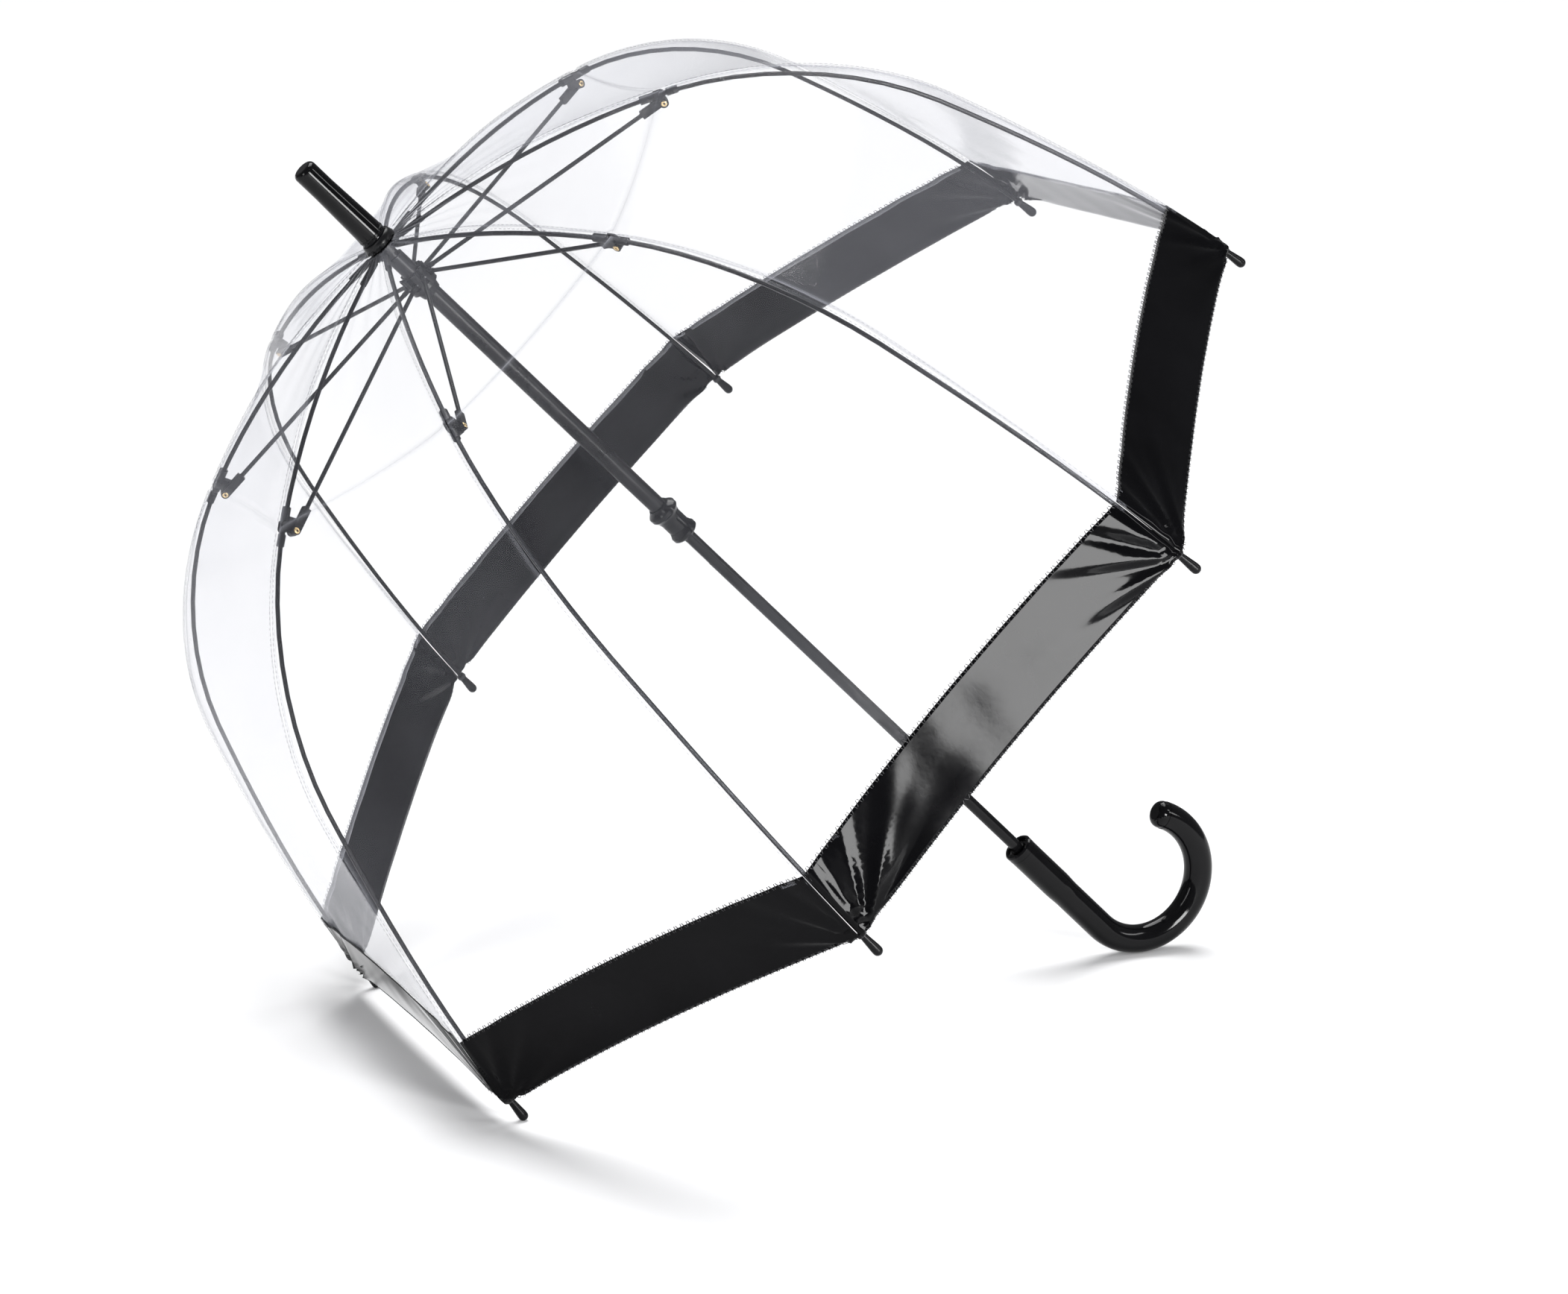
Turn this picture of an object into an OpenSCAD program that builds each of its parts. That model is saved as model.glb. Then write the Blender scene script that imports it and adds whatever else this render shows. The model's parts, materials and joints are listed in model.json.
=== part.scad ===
// Clear bubble umbrella: long-runner dome frame, eight ribs, clear canopy with a black border.
// Everything is drawn along the shaft (z towards the ferrule, x towards the open side of the crook),
// then leaned onto two rib tips and the heel of the crook, where the umbrella stands on a floor.

/* [Canopy] */
// Radius of the rim at the rib tips
rim_r = 420; // [418:1:422]
// Depth of the rim below the ferrule's base
rim_z = 428; // [426:1:430]
// Thickness of the canopy film
film_t = 0.3; // [0.2:0.05:0.4]
// Height of the black border at the ribs
band_h = 54; // [45:1:62]
// How far the hem rises between two tips
scallop = 8; // [4:1:10]

/* [Shaft and runner] */
// Diameter of the thin shaft
shaft_d = 9.3; // [9:0.1:9.6]
// Diameter of the long runner sleeve
sleeve_d = 12.8; // [12.4:0.1:12.8]
// Diameter of the runner's hub
hub_d = 21.4; // [21:0.2:22.4]
// Diameter of the top flange of the runner's grip
spool_d = 23; // [21:0.5:25]

/* [Frame] */
// Diameter of the rib rods
rib_d = 3.2; // [2.8:0.1:3.4]
// Diameter of the stretcher rods
stretcher_d = 3; // [2.6:0.1:3]
// Diameter of the rounded rib tips
tip_d = 7; // [6:0.5:8]

/* [Ferrule and handle] */
// Length of the ferrule
ferrule_l = 69.6; // [68:0.2:72]
// Diameter of the ferrule at its base
ferrule_d = 19.8; // [19:0.2:20.4]
// Diameter of the ferrule's straight end
ferrule_end_d = 17.2; // [16.4:0.2:17.6]
// Diameter of the crook handle
handle_d = 22; // [20:0.5:23]
// Radius of the crook's centre line
crook_r = 50; // [48:1:54]
// Sweep of the crook
crook_sweep = 203; // [190:1:210]

/* [Hidden] */
$fn = 64;

shaft_r = shaft_d / 2;
tip_r = tip_d / 2;
handle_z = -698.4;                 // top face of the handle
crook_z = -800;                    // height of the crook's centre
rib_az = function (i) 22.5 + 45 * i;   // azimuth of rib i
gore_az = function (i) 45 + 45 * i;    // azimuth of the middle of gore i
half = 22.5;

// pivots in the (radius, height) plane of a rib
NP = [9.5, -11];                   // rib root in the notch
HP = [7.6, -43.4];                 // stretcher root in the hub
KP = [211, -60];                   // knuckle in the rib bracket
lap = 5;                           // the stretcher lies this far beside its rib

// rib centre line, as three cubic curves that meet smoothly
UB = [[9.5, -11], [80, -16], [150, -33], KP];
LB = [KP, [270, -86], [322, -140], [347, -200]];
RB = [rim_r, -rim_z];
MB = [[347, -200], [372, -260], [rim_r - 15, -rim_z + 83], RB];
function bez(b, t) = let (u = 1 - t) u*u*u*b[0] + 3*u*u*t*b[1] + 3*u*t*t*b[2] + t*t*t*b[3];
function dbez(b, t) = let (u = 1 - t) 3*u*u*(b[1]-b[0]) + 6*u*t*(b[2]-b[1]) + 3*t*t*(b[3]-b[2]);
function low(s) = s <= 1 ? bez(LB, s) : bez(MB, s - 1);        // 0 at the knuckle, 2 at the tip's base
function dlow(s) = s <= 1 ? dbez(LB, s) : dbez(MB, s - 1);
function unit(v) = v / norm(v);
function out_n(d) = let (u = unit(d)) [-u[1], u[0]];           // outward normal of the profile

k_tan = unit(dbez(UB, 1));
k_ang = atan2(k_tan[1], k_tan[0]);
k_out = out_n(dbez(UB, 1));
RV = KP - 6.8 * k_out;             // stretcher rivet, 6.8 inside the rib
e_tan = unit(dbez(MB, 1));         // direction of the rib at the rim
TE = RB + 11.5 * e_tan;            // centre of the tip's rounded end

// lean that puts the two rear tips and the crook's heel on one plane
lean_a = crook_r + TE[0] * cos(half);
lean_b = crook_z - TE[1];
lean_c = crook_r + handle_d / 2 - tip_r;
lean = asin(lean_c / norm([lean_a, lean_b])) + atan2(-lean_b, lean_a);
floor_z = -(crook_r * sin(lean) + crook_z * cos(lean) - crook_r - handle_d / 2);
// the length is centred between the rear gore's bulge and the crook's far side
rear_x = function (s) let (p = low(s) + (3.7 + film_t / 2) * out_n(dlow(s))) -p[0] * cos(half) * cos(lean) - p[1] * sin(lean);
x_lo = min([for (s = [0:0.01:1.5]) rear_x(s)]);
x_hi = crook_r * cos(lean) - crook_z * sin(lean) + crook_r + handle_d / 2;
shift_x = -(x_lo + x_hi) / 2;

module row() translate([shift_x, 0, floor_z]) rotate([0, -lean, 0]) children();
module rib_frame(i) row() rotate([0, 0, rib_az(i)]) children();
module in_plane(p, a = 0) translate([p[0], 0, p[1]]) rotate([0, -a, 0]) children();
module pin_y(r, y0, y1) translate([0, y1, 0]) rotate([90, 0, 0]) cylinder(r = r, h = y1 - y0);
module rod_x(r, x0, x1) translate([x0, 0, 0]) rotate([0, 90, 0]) cylinder(r = r, h = x1 - x0);

// round rod along points c with tangents d, in the rib's plane
module swept(c, d, r, n = 8) {
  m = len(c);
  pts = [for (i = [0:m-1]) let (o = out_n(d[i])) for (k = [0:n-1]) let (a = 360 * k / n)
    [c[i][0] + r * cos(a) * o[0], r * sin(a), c[i][1] + r * cos(a) * o[1]]];
  faces = concat([[for (k = [0:n-1]) n-1-k]], [[for (k = [0:n-1]) (m-1)*n + k]],
    [for (i = [0:m-2]) for (k = [0:n-1]) let (a = i*n + k, b = i*n + (k+1) % n) each [[a, b + n, a + n], [a, b, b + n]]]);
  polyhedron(points = pts, faces = faces, convexity = 4);
}

// thin curved sheet of one gore: f(u) gives [radius, height] at the rib, g(u) its outward normal,
// u runs from u0 to u1(w), w from -1 to 1 across the gore
module sheet(f, g, u0, u1, rows, cols, off = 3.7, gap = 0.5) {
  t2 = film_t / 2;
  pt = function (i, j, s) let (w = -1 + 2 * j / cols, u = u0(w) + (u1(w) - u0(w)) * i / rows,
      p = f(u) + (off + s * t2) * g(u), hw = p[0] * sin(half) - gap)
    [p[0] * cos(half), w * hw, p[1]];
  n = (rows + 1) * (cols + 1);
  id = function (i, j, s) s * n + i * (cols + 1) + j;
  pts = concat([for (i = [0:rows]) for (j = [0:cols]) pt(i, j, 1)], [for (i = [0:rows]) for (j = [0:cols]) pt(i, j, -1)]);
  faces = concat(
    [for (i = [0:rows-1]) for (j = [0:cols-1]) each [[id(i,j,0), id(i,j+1,0), id(i+1,j+1,0)], [id(i,j,0), id(i+1,j+1,0), id(i+1,j,0)]]],
    [for (i = [0:rows-1]) for (j = [0:cols-1]) each [[id(i,j,1), id(i+1,j+1,1), id(i,j+1,1)], [id(i,j,1), id(i+1,j,1), id(i+1,j+1,1)]]],
    [for (j = [0:cols-1]) each [[id(0,j,0), id(0,j,1), id(0,j+1,1)], [id(0,j,0), id(0,j+1,1), id(0,j+1,0)],
      [id(rows,j,0), id(rows,j+1,1), id(rows,j,1)], [id(rows,j,0), id(rows,j+1,0), id(rows,j+1,1)]]],
    [for (i = [0:rows-1]) each [[id(i,0,0), id(i+1,0,1), id(i,0,1)], [id(i,0,0), id(i+1,0,0), id(i+1,0,1)],
      [id(i,cols,0), id(i,cols,1), id(i+1,cols,1)], [id(i,cols,0), id(i+1,cols,1), id(i+1,cols,0)]]]);
  polyhedron(points = pts, faces = faces, convexity = 4);
}

// ---- shaft, ferrule, notch and handle ----
module shaft_tube() color([0.07, 0.07, 0.08]) row()
  difference() {
    translate([0, 0, -760]) cylinder(r = shaft_r, h = 760 + 30);
    translate([0, 0, -761]) cylinder(r = shaft_r - 0.8, h = 760 + 32);
    // slots of the two catches
    translate([-shaft_r - 1, -1.3, -352]) cube([3.4, 2.6, 28]);
    translate([-shaft_r - 1, -1.3, -640]) cube([3.4, 2.6, 28]);
  }

module ferrule() color([0.03, 0.03, 0.035]) row() {
  r0 = ferrule_d / 2; r1 = ferrule_end_d / 2; e = 3.6;
  rotate_extrude() polygon(concat(
    [[shaft_r + 0.02, 0], [r0, 0], [r0, 2], [r1, ferrule_l - 21]],
    [for (a = [0:15:90]) [r1 - e + e * cos(a), ferrule_l - e + e * sin(a)]],
    [[0, ferrule_l], [0, 30.2], [shaft_r + 0.02, 30.2]]));
}

module notch() color([0.05, 0.05, 0.055]) row()
  difference() {
    union() {
      translate([0, 0, -14.6]) cylinder(r = 10.9, h = 6.5);
      translate([0, 0, -8.1]) cylinder(r = 7.2, h = 7.8);
    }
    translate([0, 0, -20]) cylinder(r = shaft_r + 0.02, h = 30);
    for (i = [0:7]) rotate([0, 0, rib_az(i)]) translate([6.4, -1.3, -17]) cube([6, 2.6, 10]);
  }

module notch_ring_wire() color([0.72, 0.72, 0.72]) row()
  translate([0, 0, NP[1]]) rotate_extrude() translate([NP[0], 0]) circle(r = 0.6, $fn = 24);

module crook_arc(a0, a1, r) translate([crook_r, 0, crook_z]) rotate([90, 0, 0]) rotate([0, 0, a0])
  rotate_extrude(angle = a1 - a0) translate([crook_r, 0]) circle(r = r);

module handle() color([0.03, 0.03, 0.035]) row() {
  hr = handle_d / 2;
  difference() {
    union() {
      // straight part with a slight palm swell below the collar
      translate([0, 0, crook_z]) rotate_extrude() polygon(concat([[0, 0], [hr, 0]],
        [for (k = [0:10]) [hr + 0.6 * (1 - cos(18 * k)) / 2, 40 + 1.5 * k]], [[hr + 0.6, handle_z - 6 - crook_z], [0, handle_z - 6 - crook_z]]));
      crook_arc(180, 180 + crook_sweep, hr);
      // rounded free end
      translate([crook_r, 0, crook_z]) rotate([90, 0, 0]) rotate([0, 0, 180 + crook_sweep])
        translate([crook_r, 0, 0]) rotate([-90, 0, 0]) rotate_extrude()
          polygon(concat([[0, -1.5], [hr - 0.3, -1.5], [hr - 0.3, 2]], [for (a = [15:15:75]) [hr - 5.3 + 5 * cos(a), 2 + 6 * sin(a)]], [[hr - 5.3, 8], [0, 8]]));
    }
    translate([0, 0, -765]) cylinder(r = shaft_r + 0.02, h = 80);
  }
}

module handle_collar() color([0.04, 0.04, 0.045]) row()
  rotate_extrude() polygon([[shaft_r + 0.02, handle_z - 5.7], [11.75, handle_z - 5.7], [11.75, handle_z - 1],
    [10.9, handle_z], [9.4, handle_z], [8.6, handle_z - 2.4], [shaft_r + 1.4, handle_z - 2.4], [shaft_r + 1.1, handle_z - 0.6], [shaft_r + 0.02, handle_z - 0.6]]);

// leaf catches, pressed flush in their slots
module catch(z) row() translate([-shaft_r + 0.25, -1, z]) {
  cube([0.7, 2, 24]);
  translate([0.5, 0, 0]) cube([2.2, 2, 0.8]);
}
module top_catch_spring() color([0.75, 0.75, 0.76]) catch(-350);
module bottom_catch_spring() color([0.75, 0.75, 0.76]) catch(-638);

// ---- runner ----
module runner_sleeve() color([0.05, 0.05, 0.055]) row()
  difference() {
    translate([0, 0, -305]) cylinder(r = sleeve_d / 2, h = 305 - 20);
    translate([0, 0, -306]) cylinder(r = shaft_r + 0.08, h = 305);
  }

module runner_hub() color([0.05, 0.05, 0.055]) row()
  difference() {
    union() {
      translate([0, 0, -51]) cylinder(r = hub_d / 2, h = 14.6);
      translate([0, 0, -57]) cylinder(r1 = 7.4, r2 = 8.6, h = 6);
    }
    translate([0, 0, -60]) cylinder(r = sleeve_d / 2 + 0.03, h = 30);
    for (i = [0:7]) rotate([0, 0, rib_az(i)]) translate([4.6, lap - 1.7, -47.6]) cube([10, 3.4, 12]);
  }

module hub_pins() color([0.72, 0.72, 0.72]) row()
  for (i = [0:7]) rotate([0, 0, rib_az(i)]) in_plane(HP) pin_y(0.75, lap - 2.1, lap + 2.1);

module runner_grip() color([0.03, 0.03, 0.035]) row()
  rotate_extrude() {
    s = spool_d / 2; b = shaft_r + 0.08; c = sleeve_d / 2 + 0.03;
    polygon([[b, -321], [9.4, -321], [10.5, -319.8], [10.5, -317.2], [9.6, -315.6], [8.7, -313], [8.7, -304],
      [9.6, -300.4], [s - 0.8, -298.6], [s, -297.6], [s, -294.6], [s - 1, -293.4], [8.4, -291.6], [7.6, -290], [c, -290], [c, -305.4], [b, -305.4]]);
  }

// ---- ribs ----
module rib_upper(i) rib_frame(i) {
  a0 = atan2(dbez(UB, 0)[1], dbez(UB, 0)[0]);
  // flattened eye on the notch wire, and the plastic root sleeve
  color([0.05, 0.05, 0.055]) in_plane(NP, a0) difference() {
    union() {
      pin_y(2, -1, 1);
      translate([0, -1, -1.4]) cube([5.4, 2, 2.8]);
      rod_x(2.3, 5, 24);
    }
    pin_y(0.72, -2, 2);
  }
  ts = [for (k = [0:9]) 0.11 + (0.97 - 0.11) * k / 9];
  color([0.06, 0.06, 0.065]) swept([for (t = ts) bez(UB, t)], [for (t = ts) dbez(UB, t)], rib_d / 2);
}

// sleeve on the upper rod, fork and pin for the lower rod, and the ear that carries the stretcher's rivet
module rib_bracket(i) color([0.05, 0.05, 0.055]) rib_frame(i) in_plane(KP, k_ang) {
  difference() {
    union() {
      rod_x(3, -15, -4);
      translate([-9, -1.2, -7.8]) cube([8.2, 4.2, 6]);
      translate([0, 0, -6.8]) pin_y(3.3, -1.2, 3);
      translate([-5, -3, -2.6]) cube([2, 6, 5.2]);
      for (s = [-1, 1]) translate([0, s * 2.15, 0]) {
        translate([-5, -0.85, -2.6]) cube([5, 1.7, 5.2]);
        pin_y(2.6, -0.85, 0.85);
      }
    }
    // the mouth flares a little, because the rod is already bent where it goes in
    translate([-16, 0, 0]) rotate([0, 90, 0]) cylinder(r1 = rib_d / 2 + 0.45, r2 = rib_d / 2 + 0.1, h = 11.4);
    translate([-2.8, -1.3, -3.35]) cube([8, 2.6, 8]);
    translate([0, 0, -6.8]) pin_y(0.8, -2, 4);
  }
  pin_y(0.8, -2.6, 2.6);
}

module rib_lower(i) rib_frame(i) {
  color([0.06, 0.06, 0.065]) in_plane(KP, k_ang) difference() {
    union() {
      pin_y(2.5, -1.1, 1.1);
      translate([0, -1.1, -1.5]) cube([5, 2.2, 3]);
      rod_x(2.7, 4, 12);
    }
    pin_y(0.86, -2, 2);
  }
  ss = [for (k = [0:19]) 0.055 + (2 - 0.055) * k / 19];
  color([0.06, 0.06, 0.065]) swept([for (s = ss) low(s)], [for (s = ss) dlow(s)], rib_d / 2);
  // tapered plastic tip with a rounded end
  color([0.03, 0.03, 0.035]) in_plane(RB, atan2(e_tan[1], e_tan[0])) {
    translate([-6, 0, 0]) rotate([0, 90, 0]) cylinder(r1 = 2.2, r2 = tip_r, h = 15.5);
    translate([9.5, 0, 0]) rotate([0, 90, 0]) cylinder(r = tip_r, h = 2);
    translate([11.5, 0, 0]) sphere(r = tip_r);
  }
}

module stretcher(i) color([0.06, 0.06, 0.065]) rib_frame(i) {
  sd = RV - HP; sa = atan2(sd[1], sd[0]); sl = norm(sd);
  translate([0, lap, 0]) in_plane(HP, sa) {
    difference() {
      union() {
        pin_y(2.1, -1.3, 1.3);
        translate([0, -1.3, -1.4]) cube([7, 2.6, 2.8]);
      }
      pin_y(0.82, -3, 3);
    }
    rod_x(stretcher_d / 2, 6, sl - 17);
    difference() {
      union() {
        rod_x(1.65, sl - 19, sl - 14);
        translate([sl - 18, -1.65, -3]) cube([18, 3.3, 6]);
        translate([sl, 0, 0]) pin_y(3, -1.65, 1.65);
      }
      translate([sl, 0, 0]) pin_y(0.8, -3, 3);
    }
  }
}

// ---- canopy gores ----
band_u = 2 - 0.235 * band_h / 54;    // where the border starts on the rib
module canopy_upper(i) color([0.82, 0.83, 0.87, 0.35]) row() rotate([0, 0, gore_az(i)])
  sheet(function (u) bez(UB, u), function (u) out_n(dbez(UB, u)), function (w) 0.0, function (w) 0.996, 9, 2);

module canopy_lower(i) row() rotate([0, 0, gore_az(i)]) {
  dip = scallop * 0.0043;
  color([0.82, 0.83, 0.87, 0.35])
    sheet(function (u) low(u), function (u) out_n(dlow(u)), function (w) 0.004, function (w) band_u - 0.002 - dip * (1 - w * w), 14, 4);
  color([0.02, 0.02, 0.025])
    sheet(function (u) low(u), function (u) out_n(dlow(u)), function (w) band_u + 0.002 - dip * (1 - w * w), function (w) 1.985 - dip * (1 - w * w), 3, 6);
}

shaft_tube();
ferrule();
notch();
notch_ring_wire();
handle();
handle_collar();
top_catch_spring();
bottom_catch_spring();
runner_sleeve();
runner_hub();
hub_pins();
runner_grip();
for (i = [0:7]) {
  rib_upper(i);
  rib_bracket(i);
  rib_lower(i);
  stretcher(i);
  canopy_upper(i);
  canopy_lower(i);
}
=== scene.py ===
import bpy, bmesh, math, json, random
import numpy as np
from mathutils import Matrix, Vector


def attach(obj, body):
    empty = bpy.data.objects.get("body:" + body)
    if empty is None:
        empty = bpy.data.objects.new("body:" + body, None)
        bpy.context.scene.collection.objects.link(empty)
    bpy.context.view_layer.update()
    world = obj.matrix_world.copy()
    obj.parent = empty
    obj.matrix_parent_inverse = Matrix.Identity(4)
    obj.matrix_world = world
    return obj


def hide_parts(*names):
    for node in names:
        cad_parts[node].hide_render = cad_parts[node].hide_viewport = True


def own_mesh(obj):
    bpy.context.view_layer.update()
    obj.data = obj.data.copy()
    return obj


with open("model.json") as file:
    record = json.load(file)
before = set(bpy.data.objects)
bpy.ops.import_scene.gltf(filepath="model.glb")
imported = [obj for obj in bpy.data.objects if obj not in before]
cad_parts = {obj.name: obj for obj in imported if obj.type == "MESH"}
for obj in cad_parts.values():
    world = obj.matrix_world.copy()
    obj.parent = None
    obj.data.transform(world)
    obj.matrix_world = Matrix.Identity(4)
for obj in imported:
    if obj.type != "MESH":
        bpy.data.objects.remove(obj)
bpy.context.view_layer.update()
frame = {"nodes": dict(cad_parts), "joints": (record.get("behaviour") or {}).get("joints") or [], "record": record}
C = bpy.context
RND = random.Random(7)

# ------------------------------------------------------------------ geometry of the design, in metres along the shaft
J = {j["name"]: j for j in frame["joints"]}
HALF = math.radians(22.5)
AX = Vector(J["runner_slide"]["axis"])              # the runner slides along -z of the shaft's own frame
SB, CB = AX[0], -AX[2]                              # sine and cosine of the lean


def to_row_v(p):
    x, y, z = p
    return Vector((x * CB - z * SB, y, x * SB + z * CB))


# the rib root hinges give the shaft frame's place: their mean is the notch's centre, 11 mm below the ferrule's base
roots = [Vector(J["rib_root_hinge_%d" % n]["pos_m"]) for n in range(1, 9)]
ORIGIN = sum(roots, Vector()) / 8 - to_row_v((0, 0, -0.011))


def to_row(p):
    return ORIGIN + to_row_v(p)


def az_pt(r, t, z, a):
    """Radius, sideways and height at azimuth a, to the row frame."""
    return to_row((r * math.cos(a) - t * math.sin(a), r * math.sin(a) + t * math.cos(a), z))


V2 = lambda a, b: np.array([a, b], float) / 1000
KP = V2(211, -60)
UB = [V2(9.5, -11), V2(80, -16), V2(150, -33), KP]
LB = [KP, V2(270, -86), V2(322, -140), V2(347, -200)]
RB = V2(420, -428)
MB = [V2(347, -200), V2(372, -260), V2(405, -345), RB]


def bez(b, t):
    u = 1 - t
    return u**3 * b[0] + 3 * u * u * t * b[1] + 3 * u * t * t * b[2] + t**3 * b[3]


def dbez(b, t):
    u = 1 - t
    return 3 * u * u * (b[1] - b[0]) + 6 * u * t * (b[2] - b[1]) + 3 * t * t * (b[3] - b[2])


def prof(u):
    """u from -1 at the crown, 0 at the knuckle, to 2 at the tip's base: point and outward normal."""
    if u <= 0:
        p, d = bez(UB, u + 1), dbez(UB, u + 1)
    elif u <= 1:
        p, d = bez(LB, u), dbez(LB, u)
    else:
        p, d = bez(MB, u - 1), dbez(MB, u - 1)
    d = d / np.linalg.norm(d)
    return p, np.array([-d[1], d[0]]), d


RIB_AZ = [math.radians(22.5 + 45 * i) for i in range(8)]
GORE_AZ = [math.radians(45 + 45 * i) for i in range(8)]
BAND_U = 2 - 0.235
DIP = 5 * 0.0043


# ------------------------------------------------------------------ materials
def mat(name):
    m = bpy.data.materials.new(name)
    m.use_nodes = True
    nt = m.node_tree
    b = nt.nodes["Principled BSDF"]
    return m, nt, b


def node(nt, kind, **kw):
    n = nt.nodes.new(kind)
    for k, v in kw.items():
        if k in n.inputs:
            n.inputs[k].default_value = v
        else:
            setattr(n, k, v)
    return n


def link(nt, a, ao, b, bi):
    nt.links.new(a.outputs[ao], b.inputs[bi])


def coords(nt, scale=(1, 1, 1)):
    t = node(nt, "ShaderNodeTexCoord")
    m = node(nt, "ShaderNodeMapping")
    m.inputs["Scale"].default_value = scale
    link(nt, t, "Object", m, "Vector")
    return m


def noise(nt, vec, scale, detail=4.0, rough=0.5):
    n = node(nt, "ShaderNodeTexNoise")
    n.inputs["Scale"].default_value = scale
    n.inputs["Detail"].default_value = detail
    n.inputs["Roughness"].default_value = rough
    if vec is not None:
        nt.links.new(vec, n.inputs["Vector"])
    return n


def ramp(nt, fac, a, b, ca, cb):
    r = node(nt, "ShaderNodeValToRGB")
    r.color_ramp.elements[0].position = a
    r.color_ramp.elements[1].position = b
    r.color_ramp.elements[0].color = ca if len(ca) == 4 else (*ca, 1)
    r.color_ramp.elements[1].color = cb if len(cb) == 4 else (*cb, 1)
    nt.links.new(fac, r.inputs["Fac"])
    return r


def plastic(name, col, col2, rough0, rough1, grain, bump, coat=0.0, metal=0.0, spec=0.5):
    """Moulded or painted surface: cloudy colour, fine grain, roughness that varies with handling."""
    m, nt, b = mat(name)
    co = coords(nt)
    big = noise(nt, co.outputs["Vector"], 38, 5)
    fine = noise(nt, co.outputs["Vector"], grain, 3, 0.6)
    c = ramp(nt, big.outputs["Fac"], 0.3, 0.72, col, col2)
    link(nt, c, "Color", b, "Base Color")
    mr = node(nt, "ShaderNodeMapRange")
    mr.inputs["To Min"].default_value = rough0
    mr.inputs["To Max"].default_value = rough1
    nt.links.new(big.outputs["Fac"], mr.inputs["Value"])
    link(nt, mr, "Result", b, "Roughness")
    bp = node(nt, "ShaderNodeBump")
    bp.inputs["Strength"].default_value = bump
    bp.inputs["Distance"].default_value = 0.0004
    nt.links.new(fine.outputs["Fac"], bp.inputs["Height"])
    link(nt, bp, "Normal", b, "Normal")
    b.inputs["Coat Weight"].default_value = coat
    b.inputs["Coat Roughness"].default_value = 0.05
    b.inputs["Metallic"].default_value = metal
    b.inputs["Specular IOR Level"].default_value = spec
    return m


M_GLOSS = plastic("gloss_black", (0.0015, 0.0015, 0.0018), (0.0035, 0.0035, 0.004), 0.05, 0.12, 900, 0.03, spec=0.17)
M_SATIN = plastic("satin_black", (0.004, 0.004, 0.0046), (0.009, 0.009, 0.01), 0.22, 0.34, 1400, 0.12, spec=0.2)
M_ENAMEL = plastic("black_enamel", (0.0025, 0.0025, 0.003), (0.005, 0.005, 0.0056), 0.12, 0.22, 1100, 0.06, spec=0.2)
M_RIB = plastic("rib_black", (0.0025, 0.0025, 0.003), (0.005, 0.005, 0.0056), 0.22, 0.34, 1600, 0.1, spec=0.13)
M_STEEL = plastic("bright_steel", (0.5, 0.5, 0.52), (0.66, 0.66, 0.68), 0.2, 0.34, 1800, 0.1, metal=1.0)
M_BRASS = plastic("rivet_brass", (0.62, 0.45, 0.22), (0.8, 0.62, 0.36), 0.2, 0.34, 1500, 0.08, metal=1.0)
M_THREAD = plastic("thread_black", (0.012, 0.012, 0.013), (0.03, 0.03, 0.033), 0.5, 0.65, 3000, 0.5)


def film_material(name, base, a0, a1, edge, streak, rough=0.07):
    """Thin clear film: mostly see-through, milkier at a glancing angle, with faint drawn streaks and handling marks."""
    m, nt, b = mat(name)
    co = coords(nt)
    big = noise(nt, co.outputs["Vector"], 9, 6, 0.55)
    fine = noise(nt, co.outputs["Vector"], 70, 6, 0.6)
    b.inputs["Base Color"].default_value = (*base, 1)
    b.inputs["IOR"].default_value = 1.5
    mr = node(nt, "ShaderNodeMapRange")
    mr.inputs["To Min"].default_value = rough
    mr.inputs["To Max"].default_value = rough + 0.08
    nt.links.new(fine.outputs["Fac"], mr.inputs["Value"])
    link(nt, mr, "Result", b, "Roughness")
    lw = node(nt, "ShaderNodeLayerWeight")
    lw.inputs["Blend"].default_value = 0.25
    e = node(nt, "ShaderNodeMath", operation="POWER")
    link(nt, lw, "Facing", e, 0)
    e.inputs[1].default_value = 2.0
    e2 = node(nt, "ShaderNodeMath", operation="MULTIPLY_ADD")
    link(nt, e, "Value", e2, 0)
    e2.inputs[1].default_value = edge
    amr = node(nt, "ShaderNodeMapRange")
    amr.inputs["From Min"].default_value = 0.3
    amr.inputs["From Max"].default_value = 0.75
    amr.inputs["To Min"].default_value = a0
    amr.inputs["To Max"].default_value = a1
    nt.links.new(big.outputs["Fac"], amr.inputs["Value"])
    link(nt, amr, "Result", e2, 2)
    link(nt, e2, "Value", b, "Alpha")
    bp = node(nt, "ShaderNodeBump")
    bp.inputs["Strength"].default_value = streak
    bp.inputs["Distance"].default_value = 0.002
    mix = node(nt, "ShaderNodeMath", operation="MULTIPLY_ADD")
    link(nt, fine, "Fac", mix, 0)
    mix.inputs[1].default_value = 0.35
    nt.links.new(big.outputs["Fac"], mix.inputs[2])
    link(nt, mix, "Value", bp, "Height")
    link(nt, bp, "Normal", b, "Normal")
    return m


M_FILM = film_material("clear_film", (0.54, 0.55, 0.61), 0.014, 0.036, 0.55, 0.35)
M_SEAM = film_material("seam_film", (0.3, 0.31, 0.35), 0.014, 0.03, 0.35, 0.2, 0.12)
M_THREAD_PALE = film_material("thread_clear", (0.26, 0.27, 0.3), 0.14, 0.22, 0.2, 0.2, 0.25)


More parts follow.
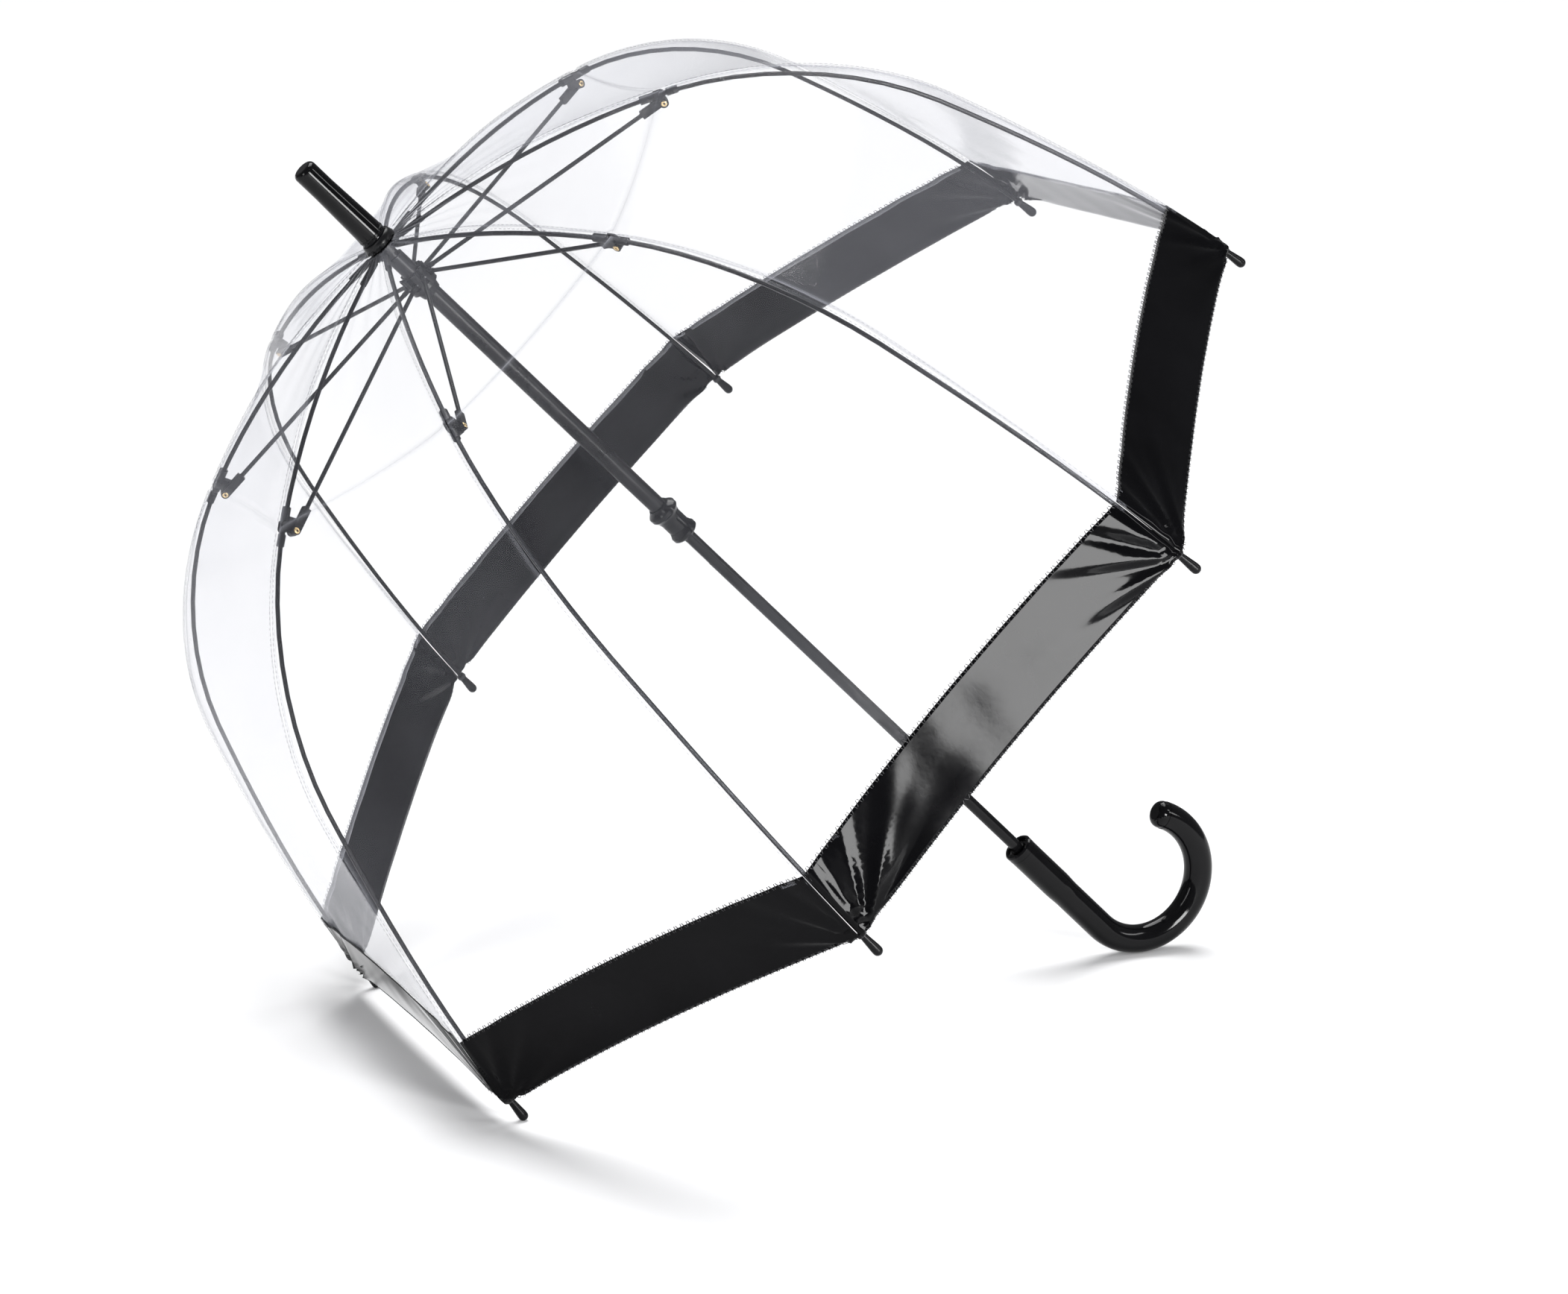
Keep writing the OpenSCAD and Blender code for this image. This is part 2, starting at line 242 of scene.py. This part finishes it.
def border_material():
    m, nt, b = mat("border_film")
    co = coords(nt)
    big = noise(nt, co.outputs["Vector"], 14, 5)
    fine = noise(nt, co.outputs["Vector"], 120, 5, 0.6)
    c = ramp(nt, big.outputs["Fac"], 0.3, 0.75, (0.0012, 0.0012, 0.0015), (0.003, 0.003, 0.0036))
    link(nt, c, "Color", b, "Base Color")
    mr = node(nt, "ShaderNodeMapRange")
    mr.inputs["To Min"].default_value = 0.05
    mr.inputs["To Max"].default_value = 0.11
    nt.links.new(fine.outputs["Fac"], mr.inputs["Value"])
    link(nt, mr, "Result", b, "Roughness")
    bp = node(nt, "ShaderNodeBump")
    bp.inputs["Strength"].default_value = 0.03
    bp.inputs["Distance"].default_value = 0.0012
    nt.links.new(big.outputs["Fac"], bp.inputs["Height"])
    bp2 = node(nt, "ShaderNodeBump")
    bp2.inputs["Strength"].default_value = 0.03
    bp2.inputs["Distance"].default_value = 0.0005
    nt.links.new(fine.outputs["Fac"], bp2.inputs["Height"])
    link(nt, bp, "Normal", bp2, "Normal")
    link(nt, bp2, "Normal", b, "Normal")
    b.inputs["Specular IOR Level"].default_value = 0.08
    return m


M_BORDER = border_material()

SLOT_MAT = {"gloss_black": M_GLOSS, "satin_black": M_SATIN, "black_enamel": M_ENAMEL, "rib_black": M_RIB, "bright_steel": M_STEEL,
            "clear_film": M_FILM}
slot_of = {s["node"]: s["material_slot"] for s in frame["record"]["subparts"]}
for name, ob in frame["nodes"].items():
    m = SLOT_MAT[slot_of[name]]
    if len(ob.material_slots) == 0:
        ob.data.materials.append(m)
    for s in ob.material_slots:
        s.material = m


# ------------------------------------------------------------------ mesh helpers
def new_obj(name, verts, faces, material, smooth=True):
    me = bpy.data.meshes.new(name)
    me.from_pydata([tuple(v) for v in verts], [], faces)
    me.validate()
    me.materials.append(material)
    if smooth:
        me.polygons.foreach_set("use_smooth", [True] * len(me.polygons))
    me.update()
    ob = bpy.data.objects.new(name, me)
    C.scene.collection.objects.link(ob)
    return ob


def thick_grid(name, fn, nu, nw, th, material):
    """Closed thin sheet: fn(i/nu, j/nw) gives the point and the outward direction."""
    outer, inner = [], []
    for i in range(nu + 1):
        for j in range(nw + 1):
            p, n = fn(i / nu, j / nw)
            outer.append(p + n * th / 2)
            inner.append(p - n * th / 2)
    N = (nu + 1) * (nw + 1)
    idx = lambda i, j, s: s * N + i * (nw + 1) + j
    f = []
    for i in range(nu):
        for j in range(nw):
            f.append((idx(i, j, 0), idx(i + 1, j, 0), idx(i + 1, j + 1, 0), idx(i, j + 1, 0)))
            f.append((idx(i, j, 1), idx(i, j + 1, 1), idx(i + 1, j + 1, 1), idx(i + 1, j, 1)))
    for j in range(nw):
        f.append((idx(0, j, 0), idx(0, j + 1, 0), idx(0, j + 1, 1), idx(0, j, 1)))
        f.append((idx(nu, j, 0), idx(nu, j, 1), idx(nu, j + 1, 1), idx(nu, j + 1, 0)))
    for i in range(nu):
        f.append((idx(i, 0, 0), idx(i, 0, 1), idx(i + 1, 0, 1), idx(i + 1, 0, 0)))
        f.append((idx(i, nw, 0), idx(i + 1, nw, 0), idx(i + 1, nw, 1), idx(i, nw, 1)))
    ob = new_obj(name, outer + inner, f, material)
    bm = bmesh.new()
    bm.from_mesh(ob.data)
    bmesh.ops.recalc_face_normals(bm, faces=bm.faces)
    bm.to_mesh(ob.data)
    bm.free()
    return ob


def area_of(ob):
    return sum(p.area for p in ob.data.polygons) / 2


# ------------------------------------------------------------------ canopy
def off_at(u):
    """How far the film stands off the rib's centre line: it is held at the crown, the bracket and the border."""
    if u <= 0:
        return 0.0037 + 0.0022 * math.sin(math.pi * min(1, max(0, u + 1))) ** 2
    return 0.0037 + 0.0042 * math.sin(math.pi * min(1.0, u / 1.72)) ** 2


def smooth01(x):
    x = min(1.0, max(0.0, x))
    return x * x * (3 - 2 * x)


def gore_point(g, u, w, band=False):
    """Point of gore g's sheet in the row frame, and its outward direction. u along the rib, w across from -1 to 1."""
    p, n, d = prof(u)
    a = GORE_AZ[g]
    q = p + off_at(u) * n
    hw = q[0] * math.sin(HALF) - 0.0004
    rc = q[0] * math.cos(HALF)
    v = (u + 1) / 3
    # the stretched film draws in between the ribs
    amp = 0.0012 + 0.004 * (1 - smooth01((u - 0.9) / 0.75))      # the doubled border keeps it nearly flat
    sag = amp * (1 - w * w) * smooth01((u + 1.0) / 0.7)
    # drawn wrinkles along the ribs, strongest towards the crown and the knuckle
    ph = g * 1.7
    edge = abs(w) ** 3
    wr = 0.0
    if not band:
        wr += 0.00055 * edge * math.sin(46 * v + 5 * w + ph) * math.sin(17 * v + ph * 2.1)
        wr += 0.0007 * (1 - smooth01((u + 1) / 0.9)) * smooth01((u + 1) / 0.12) * math.sin(9.0 * w * (1 + 0.1 * g) + ph + 2 * u)
        wr += 0.0006 * math.exp(-((u - 1.72) / 0.16) ** 2) * math.sin(16 * w + ph + 3 * u) * (0.3 + 0.7 * abs(w))
    # gathers that fan out of the two rib tips
    for s in (-1, 1):
        dx = (1 - s * w) * hw
        dy = (2.0 - u) * 0.233
        rho = math.hypot(dx, dy) + 1e-5
        th = math.atan2(dy, dx)
        fade = math.exp(-rho / (0.036 if band else 0.045)) * smooth01(rho / 0.012)
        wr += 0.0026 * fade * math.sin(13 * th + ph + s)
        wr += 0.0010 * fade * math.sin(29 * th + 2 * ph)
    if band:
        wr += 0.00007 * math.sin(7.5 * w + ph) * (1 - w * w) * math.sin(3.0 + 6 * (u - BAND_U) / 0.235)
        wr += 0.00005 * math.sin(21 * w + 1.3 * ph + 4 * u) * (1 - w ** 4)
    off = -sag + wr
    r = rc + n[0] * off
    z = q[1] + n[1] * off
    nn = to_row_v((n[0] * math.cos(a), n[0] * math.sin(a), n[1]))
    return az_pt(r, w * hw, z, a), nn


def band_top(w):
    return BAND_U - DIP * (1 - w * w)


def hem(w):
    return 1.985 - DIP * (1 - w * w)


FILM_T, BORDER_T = 0.0003, 0.0004
for g in range(8):
    n = g + 1
    ga = GORE_AZ[g]
    tang = to_row_v((-math.sin(ga), math.cos(ga), 0))
    pieces = []
    up = thick_grid("film_upper_%d" % n, lambda i, j: gore_point(g, -0.985 + 0.9845 * i, -1 + 2 * j), 36, 20, FILM_T, M_FILM)
    lo = thick_grid("film_lower_%d" % n, lambda i, j: gore_point(g, 0.0005 + (band_top(-1 + 2 * j) + 0.0135) * i, -1 + 2 * j), 60, 28, FILM_T, M_FILM)

    def bp(i, j):
        w = -1 + 2 * j
        return gore_point(g, band_top(w) + (hem(w) - band_top(w)) * i, w, True)

    def bp_out(i, j):
        p, nn = bp(i, j)
        return p + nn * 0.0006, nn

    bd = thick_grid("border_%d" % n, bp_out, 22, 84, BORDER_T, M_BORDER)

    # overlock: a zigzag of thread on both edges of the border
    tv, tf = [], []
    for edge_i, reach in ((0.0, 0.036), (0.992, 0.02)):
        count = 116
        for k in range(count):
            w0 = -0.985 + 1.97 * k / count
            w1 = w0 + 1.97 / count * 0.55
            di = reach if k % 2 else -reach
            p0, n0 = bp_out(edge_i - di, (w0 + 1) / 2)
            p1, n1 = bp_out(edge_i + di, (w1 + 1) / 2)
            dirv = (p1 - p0).normalized()
            side = dirv.cross(n0).normalized() * 0.00022
            up_ = n0 * 0.0003
            base = len(tv)
            for q in (p0, p1):
                for sgn in (-1, 1):
                    tv.append(q + side * sgn + n0 * 0.00012)
                    tv.append(q + side * sgn + n0 * 0.00012 + up_)
            tf += [tuple(base + x for x in t) for t in ((0, 1, 3, 2), (4, 6, 7, 5), (0, 4, 5, 1), (2, 3, 7, 6), (1, 5, 7, 3), (0, 2, 6, 4))]
    st = new_obj("overlock_%d" % n, tv, tf, M_THREAD, False)
    for ob, body, slot in ((up, "gore_top_%d" % n, "clear_film"), (lo, "gore_skirt_%d" % n, "clear_film"),
                           (bd, "gore_skirt_%d" % n, "border_film"), (st, "gore_skirt_%d" % n, "border_film")):
        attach(ob, body)
        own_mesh(ob)
    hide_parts("canopy_upper_%d" % n)
    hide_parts("canopy_lower_%d" % n)


# ------------------------------------------------------------------ seams along the ribs, with their stitches
def seam(i, u0, u1, nu, name, body, width):
    a = RIB_AZ[i]

    def fn(s, t):
        u = u0 + (u1 - u0) * s
        p, n, d = prof(u)
        q = p + (off_at(u) + 0.0009) * n
        half = width * (0.35 + 0.65 * smooth01((u + 1) / 0.25))
        tt = (t * 2 - 1)
        drop = 0.00035 * abs(tt) + 0.00022 * math.sin(120 * s * (u1 - u0) + 9 * tt + i) * abs(tt)
        drop += abs(tt) * half * math.tan(HALF) * 0.85
        q = q - n * drop
        return az_pt(q[0], tt * half, q[1], a), to_row_v((n[0] * math.cos(a), n[0] * math.sin(a), n[1]))

    ob = thick_grid(name, fn, nu, 6, 0.0003, M_SEAM)
    tv, tf = [], []
    length = 0.21 if u0 < 0 else 0.43
    count = int(length / 0.0042)
    for row in (0.17, 0.83):
        for k in range(count):
            s0 = (k + 0.2) / count
            s1 = (k + 0.72) / count
            p0, n0 = fn(s0, row)
            p1, _ = fn(s1, row)
            side = (p1 - p0).cross(n0).normalized() * 0.00016
            base = len(tv)
            for q in (p0, p1):
                for sgn in (-1, 1):
                    tv.append(q + side * sgn + n0 * 0.0001)
                    tv.append(q + side * sgn + n0 * 0.00042)
            tf += [tuple(base + x for x in t) for t in ((0, 1, 3, 2), (4, 6, 7, 5), (0, 4, 5, 1), (2, 3, 7, 6), (1, 5, 7, 3), (0, 2, 6, 4))]
    st = new_obj(name + "_stitches", tv, tf, M_THREAD_PALE, False)
    for o in (ob, st):
        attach(o, body)
    return ob


# ------------------------------------------------------------------ small turned pieces
def lathe(name, prof_pts, place, axis, material, seg=28):
    """Turned closed ring or button: profile (along, radius) round axis at place."""
    z = axis.normalized()
    x = z.orthogonal().normalized()
    y = z.cross(x)
    v, f = [], []
    m = len(prof_pts)
    for k in range(seg):
        ang = 2 * math.pi * k / seg
        for h, r in prof_pts:
            v.append(place + z * h + (x * math.cos(ang) + y * math.sin(ang)) * r)
    for k in range(seg):
        for q in range(m):
            a0, a1 = k * m + q, k * m + (q + 1) % m
            b0, b1 = ((k + 1) % seg) * m + q, ((k + 1) % seg) * m + (q + 1) % m
            f.append((a0, b0, b1, a1))
    ob = new_obj(name, v, f, material)
    bm = bmesh.new(); bm.from_mesh(ob.data)
    bmesh.ops.recalc_face_normals(bm, faces=bm.faces)
    bm.to_mesh(ob.data); bm.free()
    return ob


d_k = dbez(UB, 1); d_k = d_k / np.linalg.norm(d_k)
n_k = np.array([-d_k[1], d_k[0]])
RV = KP - 0.0068 * n_k
e_t = dbez(MB, 1); e_t = e_t / np.linalg.norm(e_t)
for i in range(8):
    n = i + 1
    a = RIB_AZ[i]
    tang = to_row_v((-math.sin(a), math.cos(a), 0))
    seam(i, -0.97, -0.02, 40, "seam_upper_%d" % n, "rib_%d" % n, 0.0028)
    seam(i, 0.02, BAND_U + 0.03, 80, "seam_lower_%d" % n, "rib_outer_%d" % n, 0.0028)
    # hollow brass rivet through the bracket's ear
    at = az_pt(RV[0], -0.0012, RV[1], a)
    r1 = lathe("rivet_ear_%d" % n, [(0.0, 0.00075), (0.0, 0.0022), (-0.0003, 0.0022), (-0.00065, 0.0016), (-0.0007, 0.0011), (-0.0005, 0.00075)], at, tang, M_BRASS)
    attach(r1, "rib_%d" % n)
    at = az_pt(RV[0], 0.005 + 0.00165, RV[1], a)
    r2 = lathe("rivet_strut_%d" % n, [(0.0, 0.00075), (0.0, 0.0022), (0.0003, 0.0022), (0.00065, 0.0016), (0.0007, 0.0011), (0.0005, 0.00075)], at, tang, M_BRASS)
    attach(r2, "strut_%d" % n)
    # thread whipping that gathers the border on the tip
    p, nn, dd = prof(2.0)
    axis = to_row_v((e_t[0] * math.cos(a), e_t[0] * math.sin(a), e_t[1]))
    for k in range(4):
        c = RB + e_t * (-0.0052 + 0.0007 * k)
        at = az_pt(c[0], 0, c[1], a)
        w = lathe("tip_whipping_%d_%d" % (n, k), [(0.00035 * math.cos(t), 0.0028 + 0.00012 * k + 0.00035 * math.sin(t)) for t in np.linspace(0, 2 * math.pi, 9)[:-1]], at, axis, M_THREAD, 24)
        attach(w, "rib_outer_%d" % n)

# crown washer of film layers under the ferrule, and a moulding line on the ferrule
w = lathe("crown_washer", [(-0.0065, 0.0072), (-0.0065, 0.0118), (-0.0058, 0.0126), (-0.0012, 0.0112), (-0.0004, 0.0102), (-0.0004, 0.0072)], to_row((0, 0, 0)), to_row_v((0, 0, 1)), M_SATIN, 48)
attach(w, "root")
w = lathe("ferrule_ring", [(0.0022, 0.0096), (0.0022, 0.01005), (0.0026, 0.0102), (0.0034, 0.0102), (0.0038, 0.01), (0.0038, 0.0096)], to_row((0, 0, 0)), to_row_v((0, 0, 1)), M_GLOSS, 48)
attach(w, "root")

# ------------------------------------------------------------------ floor, light and camera
bm = bmesh.new()
S = 60.0
vs = [bm.verts.new(v) for v in ((-S, -S, 0), (S, -S, 0), (S, S, 0), (-S, S, 0))]
bm.faces.new(vs)
me = bpy.data.meshes.new("floor"); bm.to_mesh(me); bm.free()
floor = bpy.data.objects.new("floor", me); C.scene.collection.objects.link(floor)
m, nt, b = mat("floor_white")
b.inputs["Base Color"].default_value = (0.92, 0.92, 0.925, 1)
b.inputs["Roughness"].default_value = 0.75
b.inputs["Specular IOR Level"].default_value = 0.2
me.materials.append(m)

world = bpy.data.worlds.new("studio")
C.scene.world = world
world.use_nodes = True
wn = world.node_tree
bg = wn.nodes["Background"]
bg.inputs["Color"].default_value = (0.96, 0.97, 1, 1)
bg.inputs["Strength"].default_value = 0.2          # dim room round the table


def area_light(name, loc, target, sx, sy, power):
    l = bpy.data.lights.new(name, "AREA")
    l.shape = "RECTANGLE"; l.size = sx; l.size_y = sy; l.energy = power
    o = bpy.data.objects.new(name, l)
    C.scene.collection.objects.link(o)
    o.location = loc
    o.rotation_euler = (Vector(target) - Vector(loc)).to_track_quat("-Z", "Y").to_euler()
    return o


sun = bpy.data.lights.new("overhead_bank", "SUN")
sun.energy = 3.1; sun.angle = math.radians(42)
so = bpy.data.objects.new("overhead_bank", sun)
C.scene.collection.objects.link(so)
so.rotation_euler = (Vector((0, 0, 0)) - Vector((0.12, 0.35, 1.0))).to_track_quat("-Z", "Y").to_euler()
area_light("strip_left", (-3.2, -1.2, 1.9), (0, 0, 0.35), 0.5, 2.4, 30)
area_light("strip_right", (2.2, -1.6, 1.5), (0.2, 0, 0.2), 0.25, 1.6, 16)
# a small softbox beside the camera, edge on at 45 degrees, that the front panel of the border mirrors
fb = area_light("softbox_front", (0.469, -2.6, 0.622), (0.02, -0.38, 0.36), 0.96, 0.58, 66)
fb.rotation_euler.rotate_axis("Z", math.radians(-43))

cam = bpy.data.cameras.new("camera")
cam.sensor_fit = "HORIZONTAL"; cam.sensor_width = 36.0; cam.lens = 92.99
cam.clip_start = 0.05; cam.clip_end = 200
co = bpy.data.objects.new("camera", cam)
C.scene.collection.objects.link(co)
right = Vector((0.91607, -0.40096, -0.00623)); upv = Vector((0.09687, 0.20619, 0.97371)); back = -Vector((0.38913, 0.89259, -0.22772))
loc = Vector((-1.1227, -2.6382, 0.9449))
M = Matrix.Identity(4)
for r in range(3):
    M[r][0], M[r][1], M[r][2], M[r][3] = right[r], upv[r], back[r], loc[r]
co.matrix_world = M
C.scene.camera = co
C.scene.view_settings.view_transform = "Standard"
